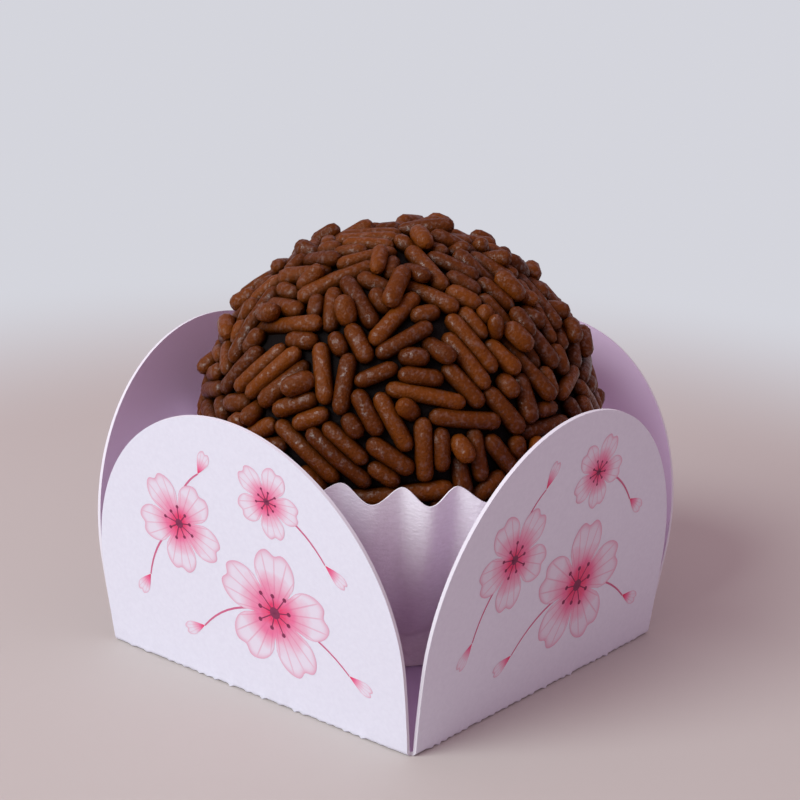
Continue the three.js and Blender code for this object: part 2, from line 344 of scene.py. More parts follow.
def petal_grid(faces, lean, bend):
    """Points of one petal's outer face as rows of columns, and the row that holds the cuts."""
    tangent = FOLD_RADIUS * math.tan((math.pi / 2 - lean) / 2)
    rows = []
    pushed = bumps_along_the_fold()
    for angle, share in zip(fold_rows(lean), (0, 0.4, 1, 1, 0.4, 0)):
        out = FLOOR_SIDE / 2 - tangent + (FOLD_RADIUS + pushed * share) * math.cos(angle)
        up = FOLD_RADIUS + (FOLD_RADIUS + pushed * share) * math.sin(angle)
        rows.append(np.stack([out, columns, np.maximum(up, 0)], -1))
    sides = [tangent + (PETAL_SHOULDER - tangent) * i / SIDE_STEPS for i in range(1, SIDE_STEPS + 1)]
    top = [PETAL_SHOULDER + (PETAL_LENGTH - PETAL_SHOULDER) * math.sin(i / TOP_STEPS * math.pi / 2)
           for i in range(1, TOP_STEPS + 1)]
    for along in sides + top:
        out, up, _ = petal_station(along, lean, bend)
        across = columns / PETAL_FOOT * petal_half_width(along)
        rows.append(np.stack([np.full(len(columns), out), across, np.full(len(columns), up)], -1))
    turn = math.radians(faces)
    spin = np.array([[math.cos(turn), -math.sin(turn), 0], [math.sin(turn), math.cos(turn), 0], [0, 0, 1]])
    return np.array(rows) @ spin.T, 2


# %% [markdown]
# The sheet's faces get one of three finishes: the printed outside, the plain inside, and the white
# edge where the die cut through the card. Solidify numbers the materials of the inside and of
# the edge after the outside's, so the order of the slots is all that it takes.

# %% Build the card
points, quads = [], []


def add_grid(grid, missing=()):
    start, (rows, count) = len(points), grid.shape[:2]
    points.extend(grid.reshape(-1, 3))
    for r in range(rows - 1):
        for c in range(count - 1):
            if (r, c) not in missing:
                a = start + r * count + c
                quads.append((a, a + 1, a + count + 1, a + count))


floor_x, floor_y = np.meshgrid(columns, columns)
add_grid(np.stack([floor_y, floor_x, floor_x * 0], -1))
for name, (faces, _, bend) in petals.items():
    grid, cut_row = petal_grid(faces, leans[name], math.radians(bend))
    add_grid(grid, {(cut_row, c) for c, cut in enumerate(is_cut) if cut})
    edge = grid[0].copy()
    inner = edge.copy()
    turn = math.radians(faces)
    towards = np.array([math.cos(turn), math.sin(turn), 0])
    inner -= np.outer(edge @ towards - PETAL_FOOT, towards)
    add_grid(np.stack([inner, edge]))

card_cup = mesh_object("petal_card_cup", points, quads)
sheet = bmesh.new()
sheet.from_mesh(card_cup.data)
bmesh.ops.remove_doubles(sheet, verts=sheet.verts, dist=0.002 * MM)
bmesh.ops.recalc_face_normals(sheet, faces=sheet.faces)
lowest = min(sheet.faces, key=lambda f: f.calc_center_median().z)
if lowest.normal.z > 0:
    bmesh.ops.reverse_faces(sheet, faces=sheet.faces)
sheet.to_mesh(card_cup.data)
sheet.free()
print("card sheet:", len(card_cup.data.polygons), "faces")

# %% [markdown]
# Printed card is matt with a faint tooth: real card scatters light from its fibres, so it has a
# high roughness and very shallow bumps. The outside is printed a pale lilac, and the inside and
# the floor are pinker. The cut edge is the bare white core of the card.

# %% Card finishes
printed_card = Finish("card_printed_lilac", (0.755, 0.755, 0.865), 0.62, specular=0.3)
mottle = printed_card.grain(0.35 * MM, 2)
printed_card.paint(printed_card.between(mottle, (0.74, 0.738, 0.85), (0.77, 0.77, 0.88), 0.3, 0.7))
printed_card.relief(printed_card.grain(0.12 * MM, 4), 0.01 * MM, 0.6)

plain_card = Finish("card_inside_lilac", (0.75, 0.59, 0.80), 0.7, specular=0.25)
plain_card.relief(plain_card.grain(0.12 * MM, 4), 0.01 * MM, 0.6)

cut_edge = Finish("card_cut_edge", (0.72, 0.69, 0.76), 0.8, specular=0.2)

# %% Give the card its thickness
for finish in (printed_card, plain_card, cut_edge):
    card_cup.data.materials.append(finish.material)
thickness = card_cup.modifiers.new("card thickness", "SOLIDIFY")
thickness.thickness = CARD_THICKNESS
thickness.offset = -1
thickness.use_even_offset = True
thickness.material_offset = 1
thickness.material_offset_rim = 2
freeze(card_cup, sharp_degrees=40)
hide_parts("card_cup")
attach(card_cup, "root")

# %% [markdown]
# Each petal is printed with a loose spray of blossoms and buds. A print has no thickness, so it
# could be painted in the card's own material, but thin sheets of their own, laid on the card, give
# crisp outlines with plain shapes. A blossom is five lobes, and a lobe is a fan of rays from the
# blossom's middle, whose lengths follow a rounded curve with a notch at its tip. The sheet keeps
# the ray's place in the fan and the share of the way out as its UV map, and the distance from the
# middle as an attribute, and the material draws with them.

# %% The spray's layout
# All lengths of the print are in mm, across and up from the middle of the petal's fold
# Each blossom: its middle, its radius and its turn in degrees
blossoms = {
    "large": ((3.0, 8.0), 5.4, 12),
    "middle": ((-5.8, 12.8), 4.2, 50),
    "small": ((3.4, 17.2), 3.1, -8),
}

# Each sprig: the blossom that it comes out from, the foot of its bud, and how far it bows
sprigs = [
    ("large", (-4.4, 4.6), 0.9),
    ("large", (9.7, 5.0), -0.7),
    ("middle", (-9.6, 7.4), 0.6),
    ("middle", (-3.2, 17.6), -0.7),
    ("small", (8.4, 13.6), -0.6),
]
BUD_RADIUS = 2.3
BUD_SPREAD = 24             # degrees on each side of a bud's middle line
SPRIG_HALVES = 0.10, 0.07   # half a sprig's width at its start and its end
LOBES = 5
LOBE_RAYS, LOBE_STEPS, LOBE_VEINS = 30, 10, 5
LOBE_WAIST = 0.38           # how far out two lobes part, as a share of the radius
LOBE_ROUNDNESS = 0.48
LOBE_NOTCH, NOTCH_WIDTH = 0.10, 0.17
STAMENS = 9
STAMEN_SHARES = 0.26, 0.33  # lengths of every other stamen, as shares of the radius
STAMEN_HALVES = 0.05, 0.04
HEART_SHARE, STAMEN_DOT_SHARE = 0.09, 0.035

# %% Flat shapes for the print
def point_at(middle, distance, degrees):
    angle = math.radians(degrees)
    return middle[0] + distance * math.cos(angle), middle[1] + distance * math.sin(angle)


# Each shape is given as its places, UVs, distances from the blossom's middle, and faces
def lobe(middle, radius, heading, spread):
    """One notched lobe about its heading."""
    sides = np.linspace(-1, 1, LOBE_RAYS + 1)
    bulge = np.clip(np.cos(sides * math.pi / 2), 0, 1) ** LOBE_ROUNDNESS
    margin = (LOBE_WAIST + (1 - LOBE_WAIST) * bulge) * (1 - LOBE_NOTCH * np.exp(-(sides / NOTCH_WIDTH) ** 2))
    shares = np.linspace(0, 1, LOBE_STEPS + 1)
    reaches = np.outer(shares, margin).ravel().tolist()
    uvs = [(side / 2 + 0.5, share) for share in shares for side in sides]
    headings = list(heading + sides * spread) * (LOBE_STEPS + 1)
    places = [point_at(middle, radius * reach, degrees) for reach, degrees in zip(reaches, headings)]
    row = LOBE_RAYS + 1
    corners = [step * row + ray_number for step in range(LOBE_STEPS) for ray_number in range(LOBE_RAYS)]
    return places, uvs, reaches, [(a, a + row, a + row + 1, a + 1) for a in corners]


def strip(start, end, bow, first_half, last_half, steps=10):
    """A thin bowed strip from one point to another that narrows along its way."""
    start, end = np.array(start), np.array(end)
    ahead = (end - start) / np.linalg.norm(end - start)
    right = np.array([ahead[1], -ahead[0]])
    places = []
    for t in np.linspace(0, 1, steps + 1):
        centre = start + (end - start) * t + right * bow * 4 * t * (1 - t)
        half = first_half + (last_half - first_half) * t
        places += [tuple(centre - right * half), tuple(centre + right * half)]
    faces = [(2 * i, 2 * i + 1, 2 * i + 3, 2 * i + 2) for i in range(steps)]
    return places, places, [0.0] * len(places), faces


def disc(middle, radius, corners=16):
    places = [point_at(middle, radius, i * 360 / corners) for i in range(corners)]
    return places, places, [0.0] * corners, [tuple(range(corners))]


def on_petal(across, up_card, faces, lean, bend, lift):
    """A point of the petal's outer face from its place on the flat card, raised by lift."""
    out, up, angle = petal_station(up_card, lean, bend)
    out += lift * math.cos(angle)
    up -= lift * math.sin(angle)
    turn = math.radians(faces)
    return out * math.cos(turn) - across * math.sin(turn), out * math.sin(turn) + across * math.cos(turn), up


def lay_print(name, shapes, petal, lift, ink):
    """One printed piece on a petal, made of flat shapes."""
    petal_faces, _, bend = petals[petal]
    stance = petal_faces, leans[petal], math.radians(bend), lift
    places, uvs, reaches, faces = [], [], [], []
    for flat, flat_uvs, flat_reaches, flat_faces in shapes:
        faces += [tuple(len(places) + corner for corner in face) for face in flat_faces]
        places += [on_petal(x * MM, y * MM, *stance) for x, y in flat]
        uvs += flat_uvs
        reaches += flat_reaches
    piece = mesh_object(name, places, faces)
    layer = piece.data.uv_layers.new(name="print")
    for loop in piece.data.loops:
        layer.data[loop.index].uv = uvs[loop.vertex_index]
    from_middle = piece.data.attributes.new("from_middle", "FLOAT", "POINT")
    from_middle.data.foreach_set("value", reaches)
    piece.data.materials.append(ink.material)
    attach(piece, "root")


# %% [markdown]
# The blossoms are translucent pink: deep rose at the middle, fading to nearly the colour of the
# card, with a fine darker margin and veins. Noise makes the wash uneven, as a brush would. A vein
# is where the place in the fan, times the number of veins, is half way between two whole numbers.

# %% The print's inks
FADED_OUT = 1.0         # how far out the rose has gone, as a share of the blossom's radius
RIPPLE = 0.34
ROSE, PINK, BLUSH = (0.78, 0.012, 0.10), (0.80, 0.19, 0.36), (0.765, 0.695, 0.81)
ROSE_AT, PINK_AT, BLUSH_AT = 0.10, 0.30, 0.66
LINE_COLOUR, LINE_STRENGTH = (0.70, 0.12, 0.28), 0.62
VEIN_STRENGTH = 0.7
MARGIN_START, MARGIN_SHARPNESS = 0.84, 2.2

blossom_ink = Finish("print_blossom_pink", (0.8, 0.3, 0.45), 0.62, specular=0.3)
ray, share, _ = blossom_ink.split(blossom_ink.value("ShaderNodeUVMap", "UV", uv_map="print"))
reach = blossom_ink.value("ShaderNodeAttribute", "Fac", attribute_name="from_middle")
uneven = reach / FADED_OUT + (blossom_ink.grain(1.4 * MM, 3) - 0.5) * RIPPLE
wash = blossom_ink.between(uneven, ROSE, BLUSH, ROSE_AT, BLUSH_AT)
wash.socket.node.color_ramp.elements.new(PINK_AT).color = (*PINK, 1)
phase = blossom_ink.math("FRACT", ray * LOBE_VEINS)
vein = blossom_ink.remap(abs(phase - 0.5) * share, 0.01, 0.07, VEIN_STRENGTH, 0.0)
margin = blossom_ink.remap(share, MARGIN_START, 1.0) ** MARGIN_SHARPNESS
line = blossom_ink.math("MAXIMUM", vein, margin)
blossom_ink.paint(blossom_ink.mix(line * LINE_STRENGTH, wash, (*LINE_COLOUR, 1)))

heart_ink = Finish("print_heart_plum", (0.22, 0.03, 0.09), 0.6, specular=0.3)
sprig_ink = Finish("print_sprig_rose", (0.60, 0.14, 0.27), 0.62, specular=0.3)

# %% Lay the blossoms, sprigs and buds on each petal
PRINT_LIFT = 0.012 * MM
spray_stems, spray_buds, spray_hearts = [], [], []
for blossom, foot, bow in sprigs:
    start = blossoms[blossom][0]
    heading = math.degrees(math.atan2(foot[1] - start[1], foot[0] - start[0]))
    spray_stems.append(strip(start, foot, bow, *SPRIG_HALVES))
    spray_buds.append(lobe(foot, BUD_RADIUS, heading, BUD_SPREAD))
for middle, radius, turn in blossoms.values():
    spray_hearts.append(disc(middle, HEART_SHARE * radius))
    for i in range(STAMENS):
        tip = point_at(middle, radius * STAMEN_SHARES[i % 2], turn + i * 360 / STAMENS)
        spray_hearts.append(strip(middle, tip, 0, *STAMEN_HALVES, steps=1))
        spray_hearts.append(disc(tip, STAMEN_DOT_SHARE * radius, 8))

for petal in petals:
    lay_print(f"print_sprigs_{petal}", spray_stems, petal, PRINT_LIFT * 0.6, sprig_ink)
    lay_print(f"print_buds_{petal}", spray_buds, petal, PRINT_LIFT, blossom_ink)
    for size, (middle, radius, turn) in blossoms.items():
        lobes = [lobe(middle, radius, turn + i * 360 / LOBES, 180 / LOBES) for i in range(LOBES)]
        lay_print(f"print_blossom_{size}_{petal}", lobes, petal, PRINT_LIFT, blossom_ink)
    lay_print(f"print_hearts_{petal}", spray_hearts, petal, PRINT_LIFT * 1.5, heart_ink)
print("laid", len(petals), "sprays of", len(blossoms), "blossoms and", len(sprigs), "buds")

# %% [markdown]
# The liner is pressed from a disc of thin paper, so its wall gathers into flutes. The smooth wall
# is a surface of revolution that hugs the lower half of the sweet. Geometry Nodes then press the
# flutes into it: one Set Position node moves each point in or out by a wave of its angle about the
# axis, more and more towards the rim. Nodes suit this well, because the number of flutes and
# their depth stay sliders on the modifier. The inner folds are a little sharper than the outer
# ones and rise higher, since a pleat's inner edge is pressed over a narrow blade.

# %% The liner's smooth wall
PAPER = 0.1 * MM
LINER_FLUTES = 24
FLUTE_DEPTH = 0.85 * MM
FLUTE_FOOT = 0.1 * MM
FLUTE_FADE = 0.9
RIM_WAVE = 1.15 * MM
LINER_TURN = 2
SWEET_GAP = 0.15 * MM
LINER_FLOOR_RADIUS = 8.6 * MM
LINER_FLARE = 2.6 * MM
FLOOR_RINGS = 0.35, 0.7, 0.94
liner_bottom = liner_low[2]
rim_height = liner_high[2] - liner_low[2] - RIM_WAVE / 2
WALL_ROWS, WALL_COLUMNS = 36, LINER_FLUTES * 20


def flute_reach(rise):
    return (FLUTE_FOOT + (FLUTE_DEPTH - FLUTE_FOOT) * rise ** FLUTE_FADE) / 2


def wall_radius(rise):
    """Radius of the paper's outside, midway between the folds."""
    to_centre = sweet_centre[2] - liner_bottom - rise * rim_height
    hug = sweet_radius * math.sqrt(max(0.0, 1 - (to_centre / sweet_half_height) ** 2))
    return max(LINER_FLOOR_RADIUS + LINER_FLARE * rise, hug + SWEET_GAP + PAPER + flute_reach(rise))


rings = [(wall_radius(0) * share, liner_bottom) for share in FLOOR_RINGS]
for row in range(WALL_ROWS + 1):
    rise = row / WALL_ROWS
    rings.append((wall_radius(rise), liner_bottom + rise * rim_height))
wall_points = [(liner_centre[0], liner_centre[1], liner_bottom)]
for radius, up in rings:
    for c in range(WALL_COLUMNS):
        angle = c / WALL_COLUMNS * 2 * math.pi
        out_x, out_y = radius * math.cos(angle), radius * math.sin(angle)
        wall_points.append((liner_centre[0] + out_x, liner_centre[1] + out_y, up))
wall_faces = [(0, 1 + (c + 1) % WALL_COLUMNS, 1 + c) for c in range(WALL_COLUMNS)]
for row in range(len(rings) - 1):
    for c in range(WALL_COLUMNS):
        a, b = 1 + row * WALL_COLUMNS + c, 1 + row * WALL_COLUMNS + (c + 1) % WALL_COLUMNS
        wall_faces.append((a, b, b + WALL_COLUMNS, a + WALL_COLUMNS))
paper_liner = mesh_object("paper_fluted_liner", wall_points, wall_faces)
print("liner wall:", len(wall_faces), "faces before the flutes")

# %% [markdown]
# A Geometry Nodes tree has inputs of its own, which are declared by name. The modifier gets each
# input's value through the input's identifier.

# %% A builder for Geometry Nodes
class GeometryTree(Builder):
    """A tree for one modifier, from the object's mesh to a new mesh with one material."""

    def __init__(self, name):
        super().__init__(bpy.data.node_groups.new(name, "GeometryNodeTree"))
        self.tree.interface.new_socket("Geometry", in_out="INPUT", socket_type="NodeSocketGeometry")
        self.tree.interface.new_socket("Geometry", in_out="OUTPUT", socket_type="NodeSocketGeometry")
        self.start = self.tree.nodes.new("NodeGroupInput")
        self.end = self.tree.nodes.new("NodeGroupOutput")
        self.given = Value(self, self.start.outputs["Geometry"])
        self.settings = {}

    def input(self, name, kind, value):
        socket = self.tree.interface.new_socket(name, in_out="INPUT", socket_type=f"NodeSocket{kind}")
        self.settings[socket.identifier] = value
        return Value(self, self.start.outputs[name])

    def finish(self, geometry, material):
        real = self.value("GeometryNodeRealizeInstances", "Geometry", {"Geometry": geometry})
        painted = self.value("GeometryNodeSetMaterial", "Geometry", {"Geometry": real, "Material": material})
        self.put(painted, self.end.inputs["Geometry"])

    def apply_to(self, piece):
        modifier = piece.modifiers.new(self.tree.name, "NODES")
        modifier.node_group = self.tree
        for identifier, value in self.settings.items():
            modifier[identifier] = value


# %% [markdown]
# Thin greaseproof paper is matt and slightly see-through, with a crepe grain: fine wrinkles that
# run round the wall. Noise squeezed in height gives such wrinkles. The pinkish tone is uneven, as
# in dyed paper. It also goes from warm at the foot to cool at the rim, which is painted light: the
# warm foot stands in for the pink light that the card's inside throws on the paper.

# %% The liner's paper
liner_paper = Finish("liner_pink_paper", (0.86, 0.76, 0.82), 0.75, specular=0.25)
up_the_wall = liner_paper.split(liner_paper.place)[2]
to_the_rim = liner_paper.remap(up_the_wall, float(liner_bottom), float(liner_high[2]))
# The paper's pink tone, with painted bounce light: warm at the foot, cool towards the rim
tone_and_painted_bounce = liner_paper.between(to_the_rim, (1.0, 0.90, 0.87), (0.89, 0.86, 0.93), 0.1, 0.95)
fibre = liner_paper.grain(0.5 * MM, 4, stretch=(1, 1, 2.2))
mottle = liner_paper.between(fibre, (0.93, 0.92, 0.92), (1.0, 1.0, 1.0), 0.3, 0.7)
liner_paper.paint(liner_paper.mix(1.0, tone_and_painted_bounce, mottle, "MULTIPLY"))
liner_paper.relief(liner_paper.grain(0.5 * MM, 2, stretch=(1, 1, 2.6)), 0.07 * MM, 0.7)
liner_paper.relief(liner_paper.grain(0.18 * MM, 3), 0.03 * MM, 0.8)

# %% [markdown]
# Real flutes aren't all alike, so noise that goes round the axis turns and deepens each one a
# little. The rim also sags behind the petal that leans out, where nothing presses the paper to
# the sweet.

# %% Press the flutes
DRIFT_SCALE = 2.2
DRIFT_TURN = 0.35
RIM_POWER, SAG_POWER = 3.0, 4.0

flutes = GeometryTree("press flutes")
count = flutes.input("Flutes", "Int", LINER_FLUTES)
depth = flutes.input("Depth at the rim", "Float", FLUTE_DEPTH)
foot_depth = flutes.input("Depth at the foot", "Float", FLUTE_FOOT)
rim_wave = flutes.input("Rim wave", "Float", RIM_WAVE)
roundness = flutes.input("Roundness of the inner folds", "Float", 1.75)
unevenness = flutes.input("Unevenness", "Float", 0.22)
seed = flutes.input("Seed", "Float", 3.0)
sag = flutes.input("Sag of the rim", "Float", 1.75 * MM)
sag_towards = flutes.input("Direction of the sag", "Float", math.radians(135))

place = flutes.value("GeometryNodeInputPosition", "Position")
x, y, z = flutes.split(flutes.vector_math("SUBTRACT", place, (liner_centre[0], liner_centre[1], 0.0)))
radius = flutes.math("SQRT", x * x + y * y)
angle = flutes.math("ARCTAN2", y, x)
rise = flutes.math("MAXIMUM", (z - float(liner_bottom)) / float(rim_height), 0.0)
near_rim = rise ** RIM_POWER

round_x, round_y = flutes.math("COSINE", angle) * DRIFT_SCALE, flutes.math("SINE", angle) * DRIFT_SCALE
around = flutes.value("ShaderNodeCombineXYZ", "Vector", {"X": round_x, "Y": round_y, "Z": seed})
noise = flutes.value("ShaderNodeTexNoise", "Fac", {"Vector": around, "Scale": 1.0, "Detail": 1.0})
drift = (noise - 0.5) * unevenness
turned = angle + drift * DRIFT_TURN - math.radians(LINER_TURN)
fold = abs(flutes.math("COSINE", turned * (count / 2.0)))
wave = fold ** roundness * 2.0 - 1.0
on_wall = flutes.math("GREATER_THAN", radius, float(wall_radius(0) * 0.97))
reach = (foot_depth + (depth - foot_depth) * rise ** FLUTE_FADE) * 0.5 * on_wall * (drift + 1.0)
outward = reach * wave / flutes.math("MAXIMUM", radius, 1e-5)
facing = flutes.math("MAXIMUM", flutes.math("COSINE", angle - sag_towards), 0.0)
lift = rim_wave * -0.5 * (wave * near_rim) - facing ** SAG_POWER * sag * near_rim
shift = flutes.value("ShaderNodeCombineXYZ", "Vector", {"X": outward * x, "Y": outward * y, "Z": lift})
pressed = flutes.value("GeometryNodeSetPosition", "Geometry", {"Geometry": flutes.given, "Offset": shift})
flutes.finish(pressed, liner_paper.material)
flutes.apply_to(paper_liner)
thickness = paper_liner.modifiers.new("paper thickness", "SOLIDIFY")
thickness.thickness = PAPER
thickness.offset = -1
freeze(paper_liner, sharp_degrees=60)
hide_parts("fluted_liner")
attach(paper_liner, "root")

# %% [markdown]
# The sweet is soft fudge, rolled between the palms and then in a dish of sprinkles until no more
# will stick. The layout follows that in two steps. First, sprinkles are dropped on the ball, long
# ones first, most of them right beside one that is there, since they settle side by side in little
# rafts. They may still overlap a little. Then they are rolled in: each is a stiff rod that pushes its
# neighbours away and is pulled down onto the fudge, so the rods slide, turn and, where it is
# crowded, ride up on each other.

# %% Drop the sprinkles
SPRINKLE_RADIUS = 0.70 * MM
SPRINKLE_LONGEST, SPRINKLE_SHORTEST = 9.6 * MM, 2.1 * MM
DROP_OVERLAP = 0.77          # how near two may fall, as a share of touching
LAYER_DROP = 0.2 * MM
SPRINKLE_TRIES = 26000
SCATTERED = 0.3              # share of the tries that don't lie down beside another
WIDEST_TURN = 0.7            # radians between the widest turns of two that lie together
LOOSENESS = 0.1              # most that these two stand apart, as a share of their distance
LENGTH_FALL = 0.14           # power by which the tried lengths fall
TOP_TRIES, TOP_LONGEST = 420, 6.5 * MM
SAMPLES = 7
dice = np.random.default_rng(11)
lying = sweet_radius - SPRINKLE_RADIUS - LAYER_DROP


def arc_points(centre, direction, length, radius):
    reach = (length / 2 - SPRINKLE_RADIUS) / radius
    angles = np.linspace(-reach, reach, SAMPLES)[:, None]
    return (centre * np.cos(angles) + direction * np.sin(angles)) * radius


def drop_sprinkles(radius, tries, longest, scatter, allowed):
    """Sprinkles as (centre, direction, length) on a ball of that radius."""
    laid, middles, lengths, arcs = [], np.zeros((0, 3)), np.zeros(0), np.zeros((0, SAMPLES, 3))
    apart = 2 * SPRINKLE_RADIUS * DROP_OVERLAP
    for i in range(tries):
        share = i / tries
        length = longest - (longest - SPRINKLE_SHORTEST) * share ** LENGTH_FALL
        draws = dice.random(5)
        if not laid or draws[0] < scatter:
            height, around = 2 * draws[1] - 1, 2 * math.pi * draws[2]
            flat = math.sqrt(1 - height * height)
            centre = np.array([flat * math.cos(around), flat * math.sin(around), height])
            east = np.array([-math.sin(around), math.cos(around), 0])
            heading = math.pi * draws[3]
            direction = east * math.cos(heading) + np.cross(centre, east) * math.sin(heading)
        else:
            mate_centre, mate_direction, mate_length = laid[int(draws[1] * len(laid))]
            across = np.cross(mate_centre, mate_direction)
            step = apart * (1 + LOOSENESS * ((draws[2] * 2) % 1)) / radius
            slide = (draws[3] - 0.5) * (mate_length + length) / 2 / radius
            centre = mate_centre + across * (step if draws[2] < 0.5 else -step) + mate_direction * slide
            centre /= np.linalg.norm(centre)
            turn = (draws[4] - 0.5) * WIDEST_TURN
            direction = mate_direction * math.cos(turn) + across * math.sin(turn)
            direction -= centre * (direction @ centre)
            direction /= np.linalg.norm(direction)
        if not allowed(centre):
            continue
        arc = arc_points(centre, direction, length, radius)
        near = np.linalg.norm(middles - arc[SAMPLES // 2], axis=1) < (lengths + length) / 2 + apart
        if near.any():
            gaps = np.linalg.norm(arcs[near][:, :, None] - arc[None, None], axis=-1)
            if gaps.min() < apart:
                continue
        laid.append((centre, direction, length))
        middles = np.vstack([middles, arc[SAMPLES // 2]])
        lengths = np.append(lengths, length)
        arcs = np.concatenate([arcs, arc[None]])
    return laid


def near_the_top(centre):
    return centre[2] > 0.1 and dice.random() < centre[2] ** 1.5


first_layer = drop_sprinkles(lying, SPRINKLE_TRIES, SPRINKLE_LONGEST, SCATTERED, lambda centre: True)
second_layer = drop_sprinkles(lying, TOP_TRIES, TOP_LONGEST, 1.0, near_the_top)
print(len(first_layer), "sprinkles dropped on the fudge and", len(second_layer), "on top of them")

# %% Roll them in
ROLL_STEPS = 150
STEPS_TO_NEIGHBOURS = 6      # steps from one search for neighbours to the next
PRESSED_TOGETHER = 0.05 * MM
GIRTH_SPREAD = 0.055
HEIGHT_SPREAD = 0.12 * MM
LOWERED, RAISED = 0.25 * MM, 0.6 * MM   # most that one step counts of a rod's height error
SETTLING = 0.12
YIELD = 0.9                  # share of each step's push that a rod follows
ON_TOP = 1.6                 # how high the second layer starts, in sprinkle radii
ROD_CURVE = 0.6 / lying      # fresh sprinkles still give a little, so they follow the ball in part
centres, directions, lengths = zip(*first_layer, *second_layer)
heights = [lying] * len(first_layer) + [lying + ON_TOP * SPRINKLE_RADIUS] * len(second_layer)
rod_middle = np.array(centres) * np.array(heights)[:, None]
rod_along, rod_length = np.array(directions), np.array(lengths)
rod_girth = SPRINKLE_RADIUS * np.clip(dice.normal(1, GIRTH_SPREAD, len(rod_length)), 0.85, 1.12)
rod_middle += rod_middle / lying * dice.normal(0, HEIGHT_SPREAD, (len(rod_length), 1))
rod_steps = np.linspace(-1, 1, SAMPLES) * (rod_length / 2 - rod_girth)[:, None]


def rod_samples():
    up = rod_middle / np.linalg.norm(rod_middle, axis=1, keepdims=True)
    fall = (rod_steps ** 2 * ROD_CURVE / 2)[..., None]
    return rod_middle[:, None] + rod_along[:, None] * rod_steps[..., None] - up[:, None] * fall


for roll in range(ROLL_STEPS):
    if roll % STEPS_TO_NEIGHBOURS == 0:
        distances = np.linalg.norm(rod_middle[:, None] - rod_middle[None], axis=-1)
        close = distances < (rod_length[:, None] + rod_length[None]) / 2 + 0.4 * MM
        one, other = np.nonzero(np.triu(close, 1))
    samples = rod_samples()
    between = samples[one][:, :, None] - samples[other][:, None]
    distance = np.maximum(np.linalg.norm(between, axis=-1), 1e-6)
    touching = (rod_girth[one] + rod_girth[other] - PRESSED_TOGETHER)[:, None, None]
    push = between * (np.clip(touching - distance, 0, None) / distance)[..., None] * 0.5
    moved = np.zeros_like(samples)
    np.add.at(moved, one, push.sum(axis=2))
    np.add.at(moved, other, -push.sum(axis=1))
    height = np.linalg.norm(samples, axis=-1, keepdims=True)
    settle = np.clip(lying - height, -LOWERED, RAISED) * SETTLING
    moved += samples / height * settle
    rod_middle += moved.mean(axis=1) * YIELD
    turn = (moved * rod_steps[..., None]).sum(axis=1) / (rod_steps ** 2).sum(axis=1)[:, None]
    rod_along += (turn - rod_along * (turn * rod_along).sum(axis=1, keepdims=True)) * YIELD
    rod_along /= np.linalg.norm(rod_along, axis=1, keepdims=True)
rod_height = np.linalg.norm(rod_middle, axis=1) - lying
print(len(rod_length), "sprinkles rolled in; deepest overlap",
      round(float(np.clip(touching - distance, 0, None).max() / MM), 2), "mm, heights",
      (np.percentile(rod_height, (1, 50, 99)) / MM).round(2), "mm")

# %% [markdown]
# Each sprinkle is drawn first as a bare line of a few points that follows the ball. Geometry Nodes
# turn every line into a tube with rounded ends: the radius shrinks along a quarter circle near
# each end, and a little noise makes the tubes as lumpy as extruded chocolate. A tube has only a few
# dozen faces, which is plenty for something a millimetre and a half thick.

# %% Draw the sprinkles as lines
END_STEPS = (0.05, 0.38, 1.0)
SWAY = 0.008 / MM       # how much a sprinkle bends sideways
line_points, line_edges, girths = [], [], []
rod_up = rod_middle / np.linalg.norm(rod_middle, axis=1, keepdims=True)
ball_squash = np.array([1, 1, sweet_half_height / sweet_radius])
for middle, direction, up, length, girth in zip(rod_middle, rod_along, rod_up, rod_length, rod_girth):
    ends = [length / 2 - step * girth for step in END_STEPS]
    side = np.cross(up, direction)
    sway = dice.normal() * SWAY * min(length / (6 * MM), 1)
    start = len(line_points)
    for along in [-e for e in ends] + [0.0] + ends[::-1]:
        point = middle + direction * along + (side * sway - up * ROD_CURVE / 2) * along * along
        line_points.append(sweet_centre + point * ball_squash)
        girths.append(girth / SPRINKLE_RADIUS)
    points_each = 2 * len(END_STEPS) + 1
    line_edges.extend((start + i, start + i + 1) for i in range(points_each - 1))
sprinkles = mesh_object("chocolate_sprinkles", line_points, (), line_edges)
girth_attribute = sprinkles.data.attributes.new("girth", "FLOAT", "POINT")
girth_attribute.data.foreach_set("value", girths)
shade_attribute = sprinkles.data.attributes.new("shade", "FLOAT", "POINT")
shades = np.repeat(dice.random(len(line_points) // points_each), points_each)
shade_attribute.data.foreach_set("value", shades)

# %% [markdown]
# Chocolate sprinkles have a sugar glaze that is neither matt nor glossy, so small soft highlights
# sit on each one. The brown varies from one to the next, and the surface has fine pits. The shade
# attribute, one random number for each sprinkle, sets its own brown. Towards the middle of the ball
# the brown is darkened with painted shade, deepest in the gaps, and the glaze is turned down there.

# %% The chocolate's finish
PAINTED_SHADE_FULL, PAINTED_SHADE_GONE = -0.15, 0.85    # where the painted shade is full and where it is gone, in sprinkle radii above their axis

sprinkle_brown = Finish("sprinkle_milk_chocolate", (0.12, 0.03, 0.006), 0.36, specular=0.1)
own_shade = sprinkle_brown.value("ShaderNodeAttribute", "Fac", attribute_name="shade")
mixed = own_shade * 0.5 + sprinkle_brown.grain(0.2 * MM, 4) * 0.5
unshaded_brown = sprinkle_brown.between(mixed, (0.070, 0.0140, 0.0008), (0.156, 0.0375, 0.0030), 0.2, 0.8)
from_middle = sprinkle_brown.vector_math("SUBTRACT", sprinkle_brown.place, tuple(sweet_centre))
as_on_a_ball = sprinkle_brown.vector_math("MULTIPLY", from_middle, (1, 1, sweet_radius / sweet_half_height))
height = sprinkle_brown.vector_math("LENGTH", as_on_a_ball, output="Value")
